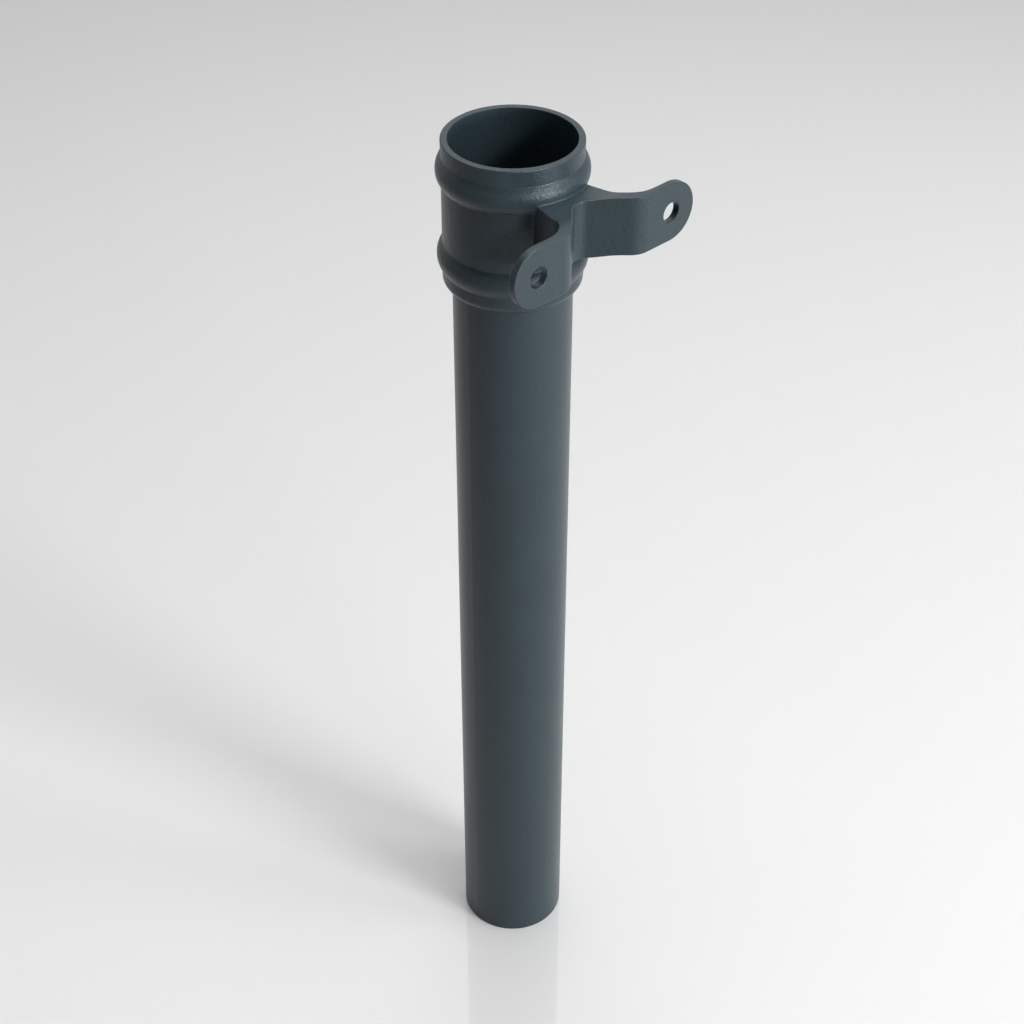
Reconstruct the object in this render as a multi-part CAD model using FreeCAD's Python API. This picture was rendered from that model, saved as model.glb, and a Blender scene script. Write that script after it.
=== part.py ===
import FreeCAD, Part
import math
import os

# Round aluminium downpipe length: an extruded tube bonded into a cast socket
# that carries two beads and a pair of fixing ears for the wall.
# Millimetres. +Z runs up the pipe, +Y points to the wall, X is along the wall.
# The origin is the centre of the tube's lower end.

# Driving dimensions of the tube
overall_height = 678.0
tube_outer_radius = 38.0
tube_wall = 2.5
tube_end_chamfer = 0.4

# Driving dimensions of the joint between tube and casting
seat_depth = 26.0
seat_step = 0.5
bond_gap = 0.1

# Driving dimensions of the socket
socket_depth = 68.0
socket_clearance = 1.4
socket_wall = 4.35
stop_ring_height = 4.0
rim_outer_round = 0.6
rim_inner_round = 0.5
skirt_step = 0.3
skirt_lip = 0.4

# Driving dimensions of the beads, with their heights measured down from the rim
upper_bead_drop = 19.7
lower_bead_drop = 77.6
bead_projection = 3.5
bead_radius = 13.0
bead_root_fillet = 1.0

# Driving dimensions of the ears and of the web that carries them
ear_hole_spacing = 110.4
ear_hole_radius = 6.6
ear_hole_drop = 39.5
ear_end_radius = 19.4
ear_thickness = 5.0
wall_standoff = 80.2
arm_angle = 44.5
valley_offset = 55.8
valley_half_width = 4.2
valley_fillet = 7.0
arm_outer_bend = 15.0
web_half_width = 21.1
web_flare_angle = 12.0
web_corner_fillet = 18.5
web_sag = 2.2
web_fall_setback = 2.0
web_fall_ease_share = 0.2
ear_edge_round = 0.8
hole_edge_round = 0.6
web_root_fillet = 0.9

# Heights and radii that follow from the driving dimensions
tube_bore_radius = tube_outer_radius - tube_wall
seat_radius = tube_outer_radius - seat_step
counterbore_radius = seat_radius + bond_gap
socket_bore_radius = tube_outer_radius + socket_clearance
body_radius = socket_bore_radius + socket_wall
skirt_radius = body_radius + skirt_step
lip_radius = tube_outer_radius + skirt_lip
rim_z = overall_height
socket_floor_z = rim_z - socket_depth
tube_top_z = socket_floor_z - stop_ring_height
skirt_bottom_z = tube_top_z - seat_depth
ear_hole_z = rim_z - ear_hole_drop
ear_hole_x = ear_hole_spacing / 2
ear_back_y = wall_standoff - ear_thickness
ear_top_z = ear_hole_z + ear_end_radius
ear_bottom_z = ear_hole_z - ear_end_radius
web_bottom_z = ear_bottom_z - web_sag

# Slack used when edges are picked by where they lie, and points tried on each
touching = 0.01
points_per_edge = 7

up = FreeCAD.Vector(0, 0, 1)
towards_wall = FreeCAD.Vector(0, 1, 0)
origin = FreeCAD.Vector(0, 0, 0)


def profile_point(radius, height):
    return FreeCAD.Vector(radius, 0, height)


def line(start, end):
    return Part.LineSegment(start, end).toShape()


def arc_about(centre, start, end, swing):
    """Arc from start to end about centre, bulging along the unit vector swing."""
    radius = start.distanceToPoint(centre)
    return Part.Arc(start, centre + swing * radius, end).toShape()


def turned(edges):
    """Solid of revolution about the pipe's axis from a closed half section."""
    section = Part.Face(Part.Wire(Part.__sortEdges__(edges)))
    return section.revolve(origin, up, 360)


def bead_edges(centre_z, wall_above, wall_below):
    """Half-round bead with a small root fillet on the wall above and below it.

    Returns its lower end point, its upper end point and its three arcs.
    """
    crest = body_radius + bead_projection
    centre = profile_point(crest - bead_radius, centre_z)
    arcs = []
    ends = []
    touches = []
    for side, wall in ((-1, wall_below), (1, wall_above)):
        reach = bead_radius + bead_root_fillet
        across = wall + bead_root_fillet - centre.x
        rise = side * math.sqrt(reach ** 2 - across ** 2)
        root = centre + FreeCAD.Vector(across, 0, rise)
        touch = centre + (root - centre) * (bead_radius / reach)
        end = profile_point(wall, root.z)
        middle = ((end - root).normalize() + (touch - root).normalize()).normalize()
        arcs.append(arc_about(root, end, touch, middle))
        ends.append(end)
        touches.append(touch)
    arcs.append(arc_about(centre, touches[0], touches[1], FreeCAD.Vector(1, 0, 0)))
    return ends[0], ends[1], arcs


def downpipe_tube():
    """Extruded tube. Its top end is turned down to seat in the casting."""
    points = [
        profile_point(tube_bore_radius, 0),
        profile_point(tube_outer_radius - tube_end_chamfer, 0),
        profile_point(tube_outer_radius, tube_end_chamfer),
        profile_point(tube_outer_radius, skirt_bottom_z),
        profile_point(seat_radius, skirt_bottom_z),
        profile_point(seat_radius, tube_top_z),
        profile_point(tube_bore_radius, tube_top_z),
    ]
    edges = [line(a, b) for a, b in zip(points, points[1:] + points[:1])]
    return turned(edges)


def socket_body():
    """Cast socket: rounded rim, two beads, rounded skirt, stop ring and tube seat."""
    low_start, low_end, low_arcs = bead_edges(rim_z - lower_bead_drop, body_radius, skirt_radius)
    high_start, high_end, high_arcs = bead_edges(rim_z - upper_bead_drop, body_radius, body_radius)

    skirt_round = skirt_radius - lip_radius
    skirt_centre = profile_point(lip_radius, skirt_bottom_z + skirt_round)
    skirt_low = profile_point(lip_radius, skirt_bottom_z)
    skirt_high = profile_point(skirt_radius, skirt_bottom_z + skirt_round)
    outward_down = FreeCAD.Vector(1, 0, -1).normalize()

    outer_centre = profile_point(body_radius - rim_outer_round, rim_z - rim_outer_round)
    outer_low = profile_point(body_radius, outer_centre.z)
    outer_high = profile_point(outer_centre.x, rim_z)
    outward_up = FreeCAD.Vector(1, 0, 1).normalize()

    inner_centre = profile_point(socket_bore_radius + rim_inner_round, rim_z - rim_inner_round)
    inner_high = profile_point(inner_centre.x, rim_z)
    inner_low = profile_point(socket_bore_radius, inner_centre.z)
    inward_up = FreeCAD.Vector(-1, 0, 1).normalize()

    inside = [
        inner_low,
        profile_point(socket_bore_radius, socket_floor_z),
        profile_point(tube_bore_radius, socket_floor_z),
        profile_point(tube_bore_radius, tube_top_z),
        profile_point(counterbore_radius, tube_top_z),
        profile_point(counterbore_radius, skirt_bottom_z),
        skirt_low,
    ]
    edges = [line(a, b) for a, b in zip(inside, inside[1:])]
    edges.append(arc_about(skirt_centre, skirt_low, skirt_high, outward_down))
    edges.append(line(skirt_high, low_start))
    edges += low_arcs
    edges.append(line(low_end, high_start))
    edges += high_arcs
    edges.append(line(high_end, outer_low))
    edges.append(arc_about(outer_centre, outer_low, outer_high, outward_up))
    edges.append(line(outer_high, inner_high))
    edges.append(arc_about(inner_centre, inner_high, inner_low, inward_up))
    return turned(edges)


def rounded_outline(corners):
    """Closed wire through (x, y, fillet radius) corners, each corner an arc."""
    count = len(corners)
    edges = []
    joins = []
    for i in range(count):
        before = FreeCAD.Vector(corners[i - 1][0], corners[i - 1][1], 0)
        here = FreeCAD.Vector(corners[i][0], corners[i][1], 0)
        after = FreeCAD.Vector(corners[(i + 1) % count][0], corners[(i + 1) % count][1], 0)
        radius = corners[i][2]
        if radius == 0:
            joins.append((here, here))
            continue
        back = (before - here).normalize()
        forth = (after - here).normalize()
        half = back.getAngle(forth) / 2
        start = here + back * (radius / math.tan(half))
        end = here + forth * (radius / math.tan(half))
        middle = here + (back + forth).normalize() * (radius / math.sin(half) - radius)
        edges.append(Part.Arc(start, middle, end).toShape())
        joins.append((start, end))
    for i in range(count):
        edges.append(line(joins[i][1], joins[(i + 1) % count][0]))
    return Part.Wire(Part.__sortEdges__(edges))


def ear_bracket():
    """Web, two arms and two ears: the plan shape cut to the ears' elevation and the web's fall."""
    arm_slope = math.tan(math.radians(arm_angle))
    flare = math.tan(math.radians(web_flare_angle))
    ear_end_x = ear_hole_x + ear_end_radius
    bend_x = valley_half_width + (wall_standoff - valley_offset) / arm_slope
    root_y = math.sqrt(socket_bore_radius ** 2 - web_half_width ** 2)
    root_x = web_half_width - (body_radius - root_y) * flare
    corner_x = web_half_width + (ear_back_y - body_radius) * flare
    right_side = [
        (root_x, root_y, 0),
        (corner_x, ear_back_y, web_corner_fillet),
        (ear_end_x, ear_back_y, 0),
        (ear_end_x, wall_standoff, 0),
        (bend_x, wall_standoff, arm_outer_bend),
        (valley_half_width, valley_offset, valley_fillet),
    ]
    left_side = [(-x, y, radius) for x, y, radius in reversed(right_side)]
    plan = Part.Face(rounded_outline(right_side + left_side))
    plan.translate(up * web_bottom_z)
    bracket = plan.extrude(up * (ear_top_z - web_bottom_z))
    bracket = bracket.common(ear_elevation()).common(web_side_view(root_y)).removeSplitter()

    outline = [edge for edge in bracket.Edges if is_outline(edge, root_y)]
    bracket = bracket.makeFillet(ear_edge_round, outline)
    for x in (-ear_hole_x, ear_hole_x):
        centre = FreeCAD.Vector(x, 0, ear_hole_z)
        bore = Part.makeCylinder(ear_hole_radius, 2 * wall_standoff, centre, towards_wall)
        bracket = bracket.cut(bore)
    mouths = [edge for edge in bracket.Edges if is_hole_mouth(edge)]
    return bracket.makeFillet(hole_edge_round, mouths)


def ear_elevation():
    """What the ears and the web keep as seen from the wall: a band with round ends."""
    depth = 2 * wall_standoff
    band_corner = FreeCAD.Vector(-ear_hole_x, 0, web_bottom_z)
    elevation = Part.makeBox(ear_hole_spacing, depth, ear_top_z - web_bottom_z, band_corner)
    for x in (-ear_hole_x, ear_hole_x):
        centre = FreeCAD.Vector(x, 0, ear_hole_z)
        elevation = elevation.fuse(Part.makeCylinder(ear_end_radius, depth, centre, towards_wall))
    return elevation.removeSplitter()


def web_side_view(root_y):
    """What they keep as seen along the wall: the web falls a little from the ears to its root."""
    ease = web_fall_ease_share * (ear_back_y - valley_offset)
    fall_start_y = ear_back_y - web_fall_setback - ease
    fall_end_y = valley_offset - web_fall_setback + ease
    fall_angle = math.atan2(web_sag, fall_start_y - fall_end_y)
    fall_bend = ease / math.tan(fall_angle / 2)
    corners = [
        (root_y, web_bottom_z, 0),
        (fall_end_y, web_bottom_z, fall_bend),
        (fall_start_y, ear_bottom_z, fall_bend),
        (2 * wall_standoff, ear_bottom_z, 0),
        (2 * wall_standoff, ear_top_z, 0),
        (fall_start_y, ear_top_z, fall_bend),
        (fall_end_y, ear_top_z - web_sag, fall_bend),
        (root_y, ear_top_z - web_sag, 0),
    ]
    side = Part.Face(rounded_outline(corners))
    # A third of a turn about this diagonal carries X to Y and Y to Z
    diagonal = FreeCAD.Vector(1, 1, 1)
    side.rotate(origin, diagonal, 360 / 3)
    reach = ear_hole_x + ear_end_radius
    side.translate(FreeCAD.Vector(-reach, 0, 0))
    return side.extrude(FreeCAD.Vector(2 * reach, 0, 0))


def is_outline(edge, root_y):
    """Edges of the bracket's rim: all but the upright bend lines and the buried root."""
    box = edge.BoundBox
    upright = box.ZLength > ear_end_radius and box.XLength + box.YLength < ear_edge_round
    return not upright and box.YMax > root_y + ear_edge_round


def is_hole_mouth(edge):
    curve = edge.Curve
    return isinstance(curve, Part.Circle) and abs(curve.Radius - ear_hole_radius) < touching


def eared_socket():
    """The whole casting: socket body and bracket in one piece, blended at the root."""
    bore = Part.makeCylinder(socket_bore_radius + socket_wall / 2, overall_height)
    bracket = ear_bracket().cut(bore)
    casting = socket_body().fuse(bracket)
    root = [edge for edge in casting.Edges if is_root(edge)]
    return casting.makeFillet(web_root_fillet, root)


def is_root(edge):
    """Edges where the bracket meets the outside of the socket."""
    crest = body_radius + bead_projection
    reach = [math.hypot(point.x, point.y) for point in edge.discretize(points_per_edge)]
    on_socket = min(reach) > body_radius - touching and max(reach) < crest + touching
    box = edge.BoundBox
    across_web = max(-box.XMin, box.XMax) < web_half_width + touching and box.YMin > 0
    beside_web = box.ZMin > web_bottom_z - touching and box.ZMax < ear_top_z + touching
    return on_socket and across_web and beside_web


os.makedirs("parts", exist_ok=True)
for node, shape in (("downpipe_tube", downpipe_tube()), ("eared_socket", eared_socket())):
    shape.exportStep(f"parts/{node}.step")
    print(node, shape.isValid(), len(shape.Solids), round(shape.Volume), shape.BoundBox)
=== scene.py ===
import math

import bpy
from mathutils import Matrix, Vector

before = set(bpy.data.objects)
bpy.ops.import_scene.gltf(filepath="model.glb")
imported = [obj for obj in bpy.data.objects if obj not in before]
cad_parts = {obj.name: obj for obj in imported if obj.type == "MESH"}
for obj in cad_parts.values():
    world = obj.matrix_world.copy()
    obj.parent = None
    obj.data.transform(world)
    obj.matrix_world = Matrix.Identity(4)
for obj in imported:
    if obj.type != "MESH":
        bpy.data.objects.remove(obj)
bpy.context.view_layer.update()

# Extruded tube
# A round aluminium tube, sawn square at its lower end and turned down at the top to seat
# in the casting. It is powder coated in matt anthracite grey after the joint is bonded.
coat_colour = (0.029, 0.047, 0.056, 1.0)
coat_mottle = 0.75
coat_roughness = 0.33
coat_roughness_swing = 0.08
coat_gloss_level = 0.36
coat_gloss_tint = (0.90, 0.94, 1.0, 1.0)
cloud_per_metre = 24.0
cloud_share = 0.35
cloud_detail = 3.0
orange_peel_per_metre = 260.0
orange_peel_share = 0.5
orange_peel_detail = 1.0
grain_detail = 2.0
noise_middle = 0.5
tube_grain_per_metre = 950.0
tube_relief = 0.00016


def powder_coat_group():
    """Colour, roughness and height of a sprayed and baked polyester powder coat."""
    group = bpy.data.node_groups.new("powder_coat", "ShaderNodeTree")
    sockets = group.interface
    for name, kind, value in (
        ("Colour", "NodeSocketColor", coat_colour),
        ("Mottle", "NodeSocketFloat", coat_mottle),
        ("Roughness", "NodeSocketFloat", coat_roughness),
        ("Grain per metre", "NodeSocketFloat", tube_grain_per_metre),
        ("Orange peel per metre", "NodeSocketFloat", orange_peel_per_metre),
        ("Orange peel share", "NodeSocketFloat", orange_peel_share),
    ):
        socket = sockets.new_socket(name=name, in_out="INPUT", socket_type=kind)
        socket.default_value = value
    for name, kind in (
        ("Colour", "NodeSocketColor"),
        ("Roughness", "NodeSocketFloat"),
        ("Height", "NodeSocketFloat"),
    ):
        sockets.new_socket(name=name, in_out="OUTPUT", socket_type=kind)

    nodes = group.nodes
    link = group.links.new
    inputs = nodes.new("NodeGroupInput")
    outputs = nodes.new("NodeGroupOutput")
    place = nodes.new("ShaderNodeTexCoord").outputs["Object"]

    def noise(scale, detail):
        texture = nodes.new("ShaderNodeTexNoise")
        texture.inputs["Detail"].default_value = detail
        link(place, texture.inputs["Vector"])
        if isinstance(scale, float):
            texture.inputs["Scale"].default_value = scale
        else:
            link(scale, texture.inputs["Scale"])
        return texture.outputs["Fac"]

    def maths(operation, *values):
        node = nodes.new("ShaderNodeMath")
        node.operation = operation
        for socket, value in zip(node.inputs, values):
            if isinstance(value, float):
                socket.default_value = value
            else:
                link(value, socket)
        return node.outputs[0]

    grain = noise(inputs.outputs["Grain per metre"], grain_detail)
    peel = noise(inputs.outputs["Orange peel per metre"], orange_peel_detail)
    cloud = maths("SUBTRACT", noise(cloud_per_metre, cloud_detail), noise_middle)

    faint_cloud = maths("MULTIPLY", cloud, cloud_share)
    shade = maths("ADD", faint_cloud, maths("SUBTRACT", grain, noise_middle))
    brightness = maths("MULTIPLY_ADD", shade, inputs.outputs["Mottle"], 1.0)
    tint = nodes.new("ShaderNodeVectorMath")
    tint.operation = "SCALE"
    link(inputs.outputs["Colour"], tint.inputs[0])
    link(brightness, tint.inputs["Scale"])
    link(tint.outputs[0], outputs.inputs["Colour"])

    roughness = maths("MULTIPLY_ADD", cloud, coat_roughness_swing, inputs.outputs["Roughness"])
    link(roughness, outputs.inputs["Roughness"])

    height = nodes.new("ShaderNodeMix")
    link(inputs.outputs["Orange peel share"], height.inputs["Factor"])
    link(grain, height.inputs["A"])
    link(peel, height.inputs["B"])
    link(height.outputs["Result"], outputs.inputs["Height"])
    return group


powder_coat = powder_coat_group()


def coated(name, relief, grain_per_metre):
    """Powder-coat material; relief is the height of its texture in metres."""
    material = bpy.data.materials.new(name)
    material.use_nodes = True
    nodes = material.node_tree.nodes
    link = material.node_tree.links.new
    shader = nodes["Principled BSDF"]
    coat = nodes.new("ShaderNodeGroup")
    coat.node_tree = powder_coat
    coat.inputs["Grain per metre"].default_value = grain_per_metre
    shader.inputs["Specular IOR Level"].default_value = coat_gloss_level
    shader.inputs["Specular Tint"].default_value = coat_gloss_tint
    bump = nodes.new("ShaderNodeBump")
    bump.inputs["Distance"].default_value = relief
    link(coat.outputs["Colour"], shader.inputs["Base Color"])
    link(coat.outputs["Roughness"], shader.inputs["Roughness"])
    link(coat.outputs["Height"], bump.inputs["Height"])
    link(bump.outputs["Normal"], shader.inputs["Normal"])
    return material


def finish_node(node, material):
    """Puts the material on a carried-over solid."""
    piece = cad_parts[node]
    for material_slot in piece.material_slots:
        material_slot.material = material


tube_material = coated("tube_powder_coat", tube_relief, tube_grain_per_metre)
finish_node("downpipe_tube", tube_material)

# Cast socket with its ears
# One aluminium casting, blasted and coated with the tube. The coat lies thicker and
# coarser on it, because the sand of the mould shows through.
casting_grain_per_metre = 850.0
casting_relief = 0.00042
casting_material = coated("casting_powder_coat", casting_relief, casting_grain_per_metre)
finish_node("eared_socket", casting_material)

# Floor
# A plain pale matt studio floor that keeps a soft shadow. Far out it runs over into the
# pale room, with no edge.
floor_half_width = 8.0
floor_roughness = 1.0
floor_gloss_level = 0.0
floor_tone = 0.85
floor_bounce_tone = 0.12
room_tone = 0.50
room_bounce_tone = 0.03
floor_fade_start = 1.2
floor_fade_end = 3.4


def seen_or_bounced(nodes, link, seen, bounced):
    """One value for what the camera sees, also mirrored, and another for diffuse light."""
    path = nodes.new("ShaderNodeLightPath")
    total = path.outputs["Is Camera Ray"]
    for kind in ("Is Glossy Ray", "Is Transmission Ray"):
        either = nodes.new("ShaderNodeMath")
        either.operation = "MAXIMUM"
        link(total, either.inputs[0])
        link(path.outputs[kind], either.inputs[1])
        total = either.outputs[0]
    value = nodes.new("ShaderNodeMix")
    link(total, value.inputs["Factor"])
    value.inputs["A"].default_value = bounced
    if isinstance(seen, float):
        value.inputs["B"].default_value = seen
    else:
        link(seen, value.inputs["B"])
    return value.outputs["Result"]


def soft_step(nodes, link, value, start, end, before, after):
    """Runs smoothly from one value to another as the input goes from start to end."""
    step = nodes.new("ShaderNodeMapRange")
    step.interpolation_type = "SMOOTHSTEP"
    step.inputs["From Min"].default_value = start
    step.inputs["From Max"].default_value = end
    for socket, tone in (("To Min", before), ("To Max", after)):
        if isinstance(tone, float):
            step.inputs[socket].default_value = tone
        else:
            link(tone, step.inputs[socket])
    link(value, step.inputs["Value"])
    return step.outputs["Result"]


bpy.ops.mesh.primitive_plane_add(size=2 * floor_half_width)
floor = bpy.context.object
floor.name = "studio_floor"
floor_material = bpy.data.materials.new("pale_floor")
floor_material.use_nodes = True
floor_nodes = floor_material.node_tree.nodes
floor_link = floor_material.node_tree.links.new
floor_shader = floor_nodes["Principled BSDF"]
floor_shader.inputs["Roughness"].default_value = floor_roughness
floor_shader.inputs["Specular IOR Level"].default_value = floor_gloss_level
floor_link(
    seen_or_bounced(floor_nodes, floor_link, floor_tone, floor_bounce_tone),
    floor_shader.inputs["Base Color"],
)
floor_far = floor_nodes.new("ShaderNodeEmission")
floor_link(
    seen_or_bounced(floor_nodes, floor_link, room_tone, room_bounce_tone),
    floor_far.inputs["Strength"],
)
floor_distance = floor_nodes.new("ShaderNodeVectorMath")
floor_distance.operation = "LENGTH"
floor_link(floor_nodes.new("ShaderNodeTexCoord").outputs["Object"], floor_distance.inputs[0])
floor_fade = soft_step(
    floor_nodes,
    floor_link,
    floor_distance.outputs["Value"],
    floor_fade_start,
    floor_fade_end,
    before=0.0,
    after=1.0,
)
floor_mix = floor_nodes.new("ShaderNodeMixShader")
floor_link(floor_fade, floor_mix.inputs["Fac"])
floor_link(floor_shader.outputs["BSDF"], floor_mix.inputs[1])
floor_link(floor_far.outputs["Emission"], floor_mix.inputs[2])
floor_link(floor_mix.outputs["Shader"], floor_nodes["Material Output"].inputs["Surface"])
floor.data.materials.append(floor_material)

# Floor polish
# A clear film just over the floor, which mirrors the pipe and the backdrop faintly. The
# lamps leave it out, so that they show in no view as bright patches on the floor.
polish_height = 0.00005
polish_strength = 0.10
polish_roughness = 0.05
white = (1.0, 1.0, 1.0, 1.0)
bpy.ops.mesh.primitive_plane_add(size=2 * floor_half_width, location=(0.0, 0.0, polish_height))
polish = bpy.context.object
polish.name = "floor_polish"
polish_material = bpy.data.materials.new("clear_floor_polish")
polish_material.use_nodes = True
polish_nodes = polish_material.node_tree.nodes
polish_link = polish_material.node_tree.links.new
polish_clear = polish_nodes.new("ShaderNodeBsdfTransparent")
polish_mirror = polish_nodes.new("ShaderNodeBsdfAnisotropic")
polish_mirror.inputs["Roughness"].default_value = polish_roughness
polish_mirror.inputs["Color"].default_value = white
polish_mix = polish_nodes.new("ShaderNodeMixShader")
polish_mix.inputs["Fac"].default_value = polish_strength
polish_link(polish_clear.outputs["BSDF"], polish_mix.inputs[1])
polish_link(polish_mirror.outputs["BSDF"], polish_mix.inputs[2])
polish_link(polish_mix.outputs["Shader"], polish_nodes["Material Output"].inputs["Surface"])
polish.data.materials.append(polish_material)
polish.visible_diffuse = False
polish.visible_glossy = False
polish.visible_shadow = False
lamp_exceptions = bpy.data.collections.new("lamp_exceptions")
lamp_exceptions.objects.link(polish)
lamp_exceptions.collection_objects[0].light_linking.link_state = "EXCLUDE"

# Camera
# It looks down 38 degrees at the wall side of the pipe, from where both ears show. Its
# place and lens follow from the outline of the base, the rim and the ear holes.
view_azimuth = math.radians(136.73)
view_down = math.radians(38.08)
level_view = math.radians(90)
camera_place = (0.7035, 0.7466, 1.198)
sensor_width = 36.0
lens_px = 1894.6
image_px = 1024
camera_data = bpy.data.cameras.new("camera")
camera_data.sensor_width = sensor_width
camera_data.lens = sensor_width * lens_px / image_px
camera = bpy.data.objects.new("camera", camera_data)
camera.location = camera_place
camera.rotation_euler = (level_view - view_down, 0.0, view_azimuth)
bpy.context.scene.collection.objects.link(camera)
bpy.context.scene.camera = camera

# Studio light
# A broad low lamp and a raised one, in front and to the right, are the keys. A fill and
# weaker lamps at the sides and behind soften them, and three large lamps hang overhead.
to_right = Vector((math.cos(view_azimuth), math.sin(view_azimuth), 0.0))
to_back = Vector((-math.sin(view_azimuth), math.cos(view_azimuth), 0.0))
straight_up = Vector((0.0, 0.0, 1.0))


def softbox(name, around, above, distance, aim_height, width, height, power):
    """Rectangular lamp aimed at the pipe's axis; around 0 is the camera's right and 90 is behind."""
    lamp = bpy.data.lights.new(name, "AREA")
    lamp.shape = "RECTANGLE"
    lamp.size = width
    lamp.size_y = height
    lamp.energy = power
    holder = bpy.data.objects.new(name, lamp)
    around, above = math.radians(around), math.radians(above)
    level = to_right * math.cos(around) + to_back * math.sin(around)
    towards = level * math.cos(above) + straight_up * math.sin(above)
    holder.location = towards * distance + straight_up * aim_height
    holder.rotation_euler = towards.to_track_quat("Z", "Y").to_euler()
    holder.visible_camera = False
    holder.light_linking.receiver_collection = lamp_exceptions
    bpy.context.scene.collection.objects.link(holder)


softbox("low_key", -36, 9, distance=3.4, aim_height=0.2, width=1.3, height=0.6, power=60.0)
softbox("raised_key", -34, 33, distance=3.6, aim_height=0.4, width=0.9, height=0.5, power=44.0)
softbox("raised_side", -8, 36, distance=3.6, aim_height=0.4, width=0.8, height=0.7, power=15.0)
softbox("front_fill", -57, 17, distance=3.4, aim_height=0.3, width=1.2, height=1.4, power=22.0)
softbox("low_side", -5, 8, distance=2.8, aim_height=0.15, width=1.2, height=0.7, power=5.0)
softbox("left_back", 150, 18, distance=3.2, aim_height=0.4, width=1.8, height=1.8, power=2.5)
softbox("raised_back", 90, 50, distance=3.6, aim_height=0.4, width=2.0, height=1.4, power=4.0)
softbox("top", 0, 90, distance=3.6, aim_height=0.4, width=2.2, height=2.2, power=58.0)
softbox("top_back", 90, 72, distance=3.8, aim_height=0.4, width=1.8, height=1.8, power=28.0)
softbox("top_side", 0, 66, distance=3.6, aim_height=0.4, width=1.5, height=1.5, power=10.0)

# Room
# Pale walls all round under a dark ceiling, with a wide bright backdrop behind the pipe.
# The camera and mirror images see it, and diffuse light takes it as nearly dark.
ceiling_tone = 0.0
backdrop_tone = 0.9
wall_top_angle = math.radians(16)
ceiling_angle = math.radians(40)
backdrop_height_angle = math.radians(40)
backdrop_full_angle = math.radians(30)
backdrop_edge_angle = math.radians(55)
world = bpy.data.worlds.new("pale_room")
world.use_nodes = True
world_nodes = world.node_tree.nodes
world_link = world.node_tree.links.new
world_direction = world_nodes.new("ShaderNodeTexCoord").outputs["Generated"]
world_height = world_nodes.new("ShaderNodeSeparateXYZ")
world_link(world_direction, world_height.inputs[0])
wall_tone = soft_step(
    world_nodes,
    world_link,
    world_height.outputs["Z"],
    math.sin(wall_top_angle),
    math.sin(ceiling_angle),
    room_tone,
    ceiling_tone,
)
to_backdrop = to_back * math.cos(backdrop_height_angle) + straight_up * math.sin(backdrop_height_angle)
world_facing = world_nodes.new("ShaderNodeVectorMath")
world_facing.operation = "DOT_PRODUCT"
world_link(world_direction, world_facing.inputs[0])
world_facing.inputs[1].default_value = to_backdrop
seen_tone = soft_step(
    world_nodes,
    world_link,
    world_facing.outputs["Value"],
    math.cos(backdrop_edge_angle),
    math.cos(backdrop_full_angle),
    wall_tone,
    backdrop_tone,
)
world_nodes["Background"].inputs["Color"].default_value = white
world_link(
    seen_or_bounced(world_nodes, world_link, seen_tone, room_bounce_tone),
    world_nodes["Background"].inputs["Strength"],
)
bpy.context.scene.world = world
bpy.context.scene.view_settings.view_transform = "Standard"
